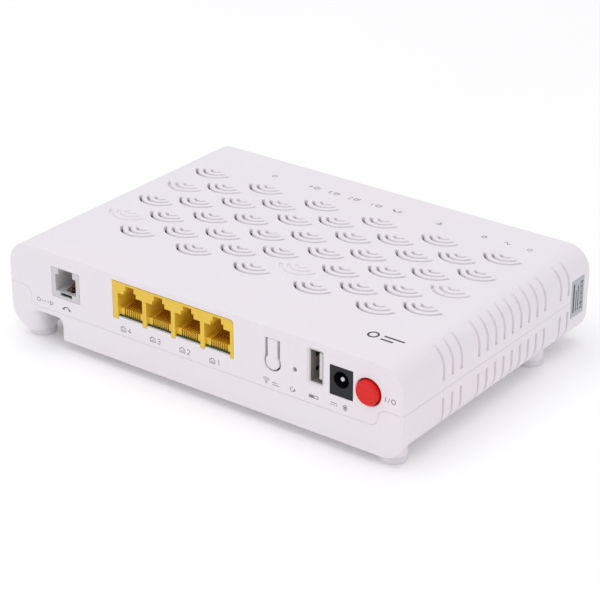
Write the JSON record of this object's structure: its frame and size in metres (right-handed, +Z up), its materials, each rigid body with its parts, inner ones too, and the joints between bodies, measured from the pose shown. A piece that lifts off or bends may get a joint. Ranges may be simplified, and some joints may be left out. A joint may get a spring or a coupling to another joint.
{
  "type": "optical network terminal",
  "caption": "Flat desktop fibre network terminal with Ethernet, telephone, serial-bus and power sockets, press buttons, arc vents and a hidden fibre bay.",
  "frame": {"origin": "middle of the footprint, at the height of the feet's undersides", "axes": "+Z up, +Y from the port face into the body, +X to the right seen from the port face"},
  "size_m": [0.1862, 0.1306, 0.0405],
  "materials": {
    "casing_white": "fine moulded texture",
    "foot_white": "soft matt",
    "screw_steel": "zinc plated",
    "board_green": "solder mask, satin",
    "jack_yellow": "moulded, satin",
    "contact_gold": "gold plated",
    "jack_grey": "moulded, satin",
    "shell_steel": "nickel plated",
    "tongue_white": "moulded",
    "jack_black": "moulded, satin",
    "pin_nickel": "nickel plated",
    "button_red": "moulded, satin",
    "switch_black": "moulded",
    "stem_white": "moulded",
    "spring_steel": "drawn wire",
    "adapter_green": "moulded",
    "ceramic_white": "ground ceramic",
    "module_gold": "turned and plated",
    "shield_tin": "tinned sheet",
    "chip_black": "moulded epoxy",
    "pad_blue": "soft silicone",
    "sink_aluminium": "extruded",
    "coil_grey": "ferrite",
    "capacitor_sleeve": "shrunk sleeve, bare can top",
    "led_clear": "clear resin",
    "guide_clear": "clear acrylic",
    "lead_black": "jacket",
    "label_silver": "printed film",
    "label_white": "printed film"
  },
  "bodies": {
    "casing": {"top_cover": "casing_white", "port_panel": "casing_white", "bottom_shell": "casing_white", "foot_pads": "foot_white", "case_screws": "screw_steel", "main_board": "board_green", "board_screws": "screw_steel", "ethernet_jack": "jack_yellow", "ethernet_contacts": "contact_gold", "phone_jack": "jack_grey", "phone_contacts": "contact_gold", "usb_shell": "shell_steel", "usb_tongue": "tongue_white", "usb_contacts": "contact_gold", "power_jack": "jack_black", "power_jack_pin": "pin_nickel", "power_jack_spring": "pin_nickel", "power_switch_body": "switch_black", "power_switch_spring": "spring_steel", "wlan_switch_body": "switch_black", "reset_switch_body": "switch_black", "fibre_adapter": "adapter_green", "fibre_sleeve": "ceramic_white", "optical_module": "module_gold", "optical_shield": "shield_tin", "main_processor": "chip_black", "thermal_pad": "pad_blue", "heat_sink": "sink_aluminium", "memory_chip": "chip_black", "flash_chip": "chip_black", "wlan_shield": "shield_tin", "lan_transformers": "chip_black", "phone_line_chip": "chip_black", "power_coils": "coil_grey", "capacitors": "capacitor_sleeve", "status_leds": "led_clear", "light_guide": "guide_clear", "left_antenna": "board_green", "right_antenna": "board_green", "left_antenna_lead": "lead_black", "right_antenna_lead": "lead_black", "side_label": "label_silver", "rating_label": "label_white"},
    "power_button": {"power_button": "button_red", "power_switch_stem": "stem_white"},
    "wlan_key": {"wlan_key": "casing_white"},
    "wlan_plunger": {"wlan_switch_plunger": "stem_white"},
    "reset_plunger": {"reset_switch_plunger": "stem_white"}
  },
  "joints": [
    {"name": "power_button_push", "type": "slide", "parent": "casing", "child": "power_button", "axis": [0, 1, 0], "range_m": [0, 0.0022], "stiffness_N_per_m": 400, "springref_m": -0.002, "deforming": ["power_switch_spring"]},
    {"name": "wlan_key_press", "type": "hinge", "parent": "casing", "child": "wlan_key", "pos_m": [0.0362, -0.0627, 0.0356], "axis": [1, 0, 0], "range_deg": [0, 3], "stiffness_Nm_per_rad": 0.03, "springref_deg": -1.15},
    {"name": "wlan_plunger_press", "type": "slide", "parent": "casing", "child": "wlan_plunger", "axis": [0, 1, 0], "range_m": [0, 0.0005]},
    {"name": "reset_plunger_press", "type": "slide", "parent": "casing", "child": "reset_plunger", "axis": [0, 1, 0], "range_m": [0, 0.0003], "stiffness_N_per_m": 600, "springref_m": -0.0005}
  ],
  "couplings": [
    {"joint": "wlan_plunger_press", "follows": "wlan_key_press", "m_per_rad": 0.0092}
  ]
}
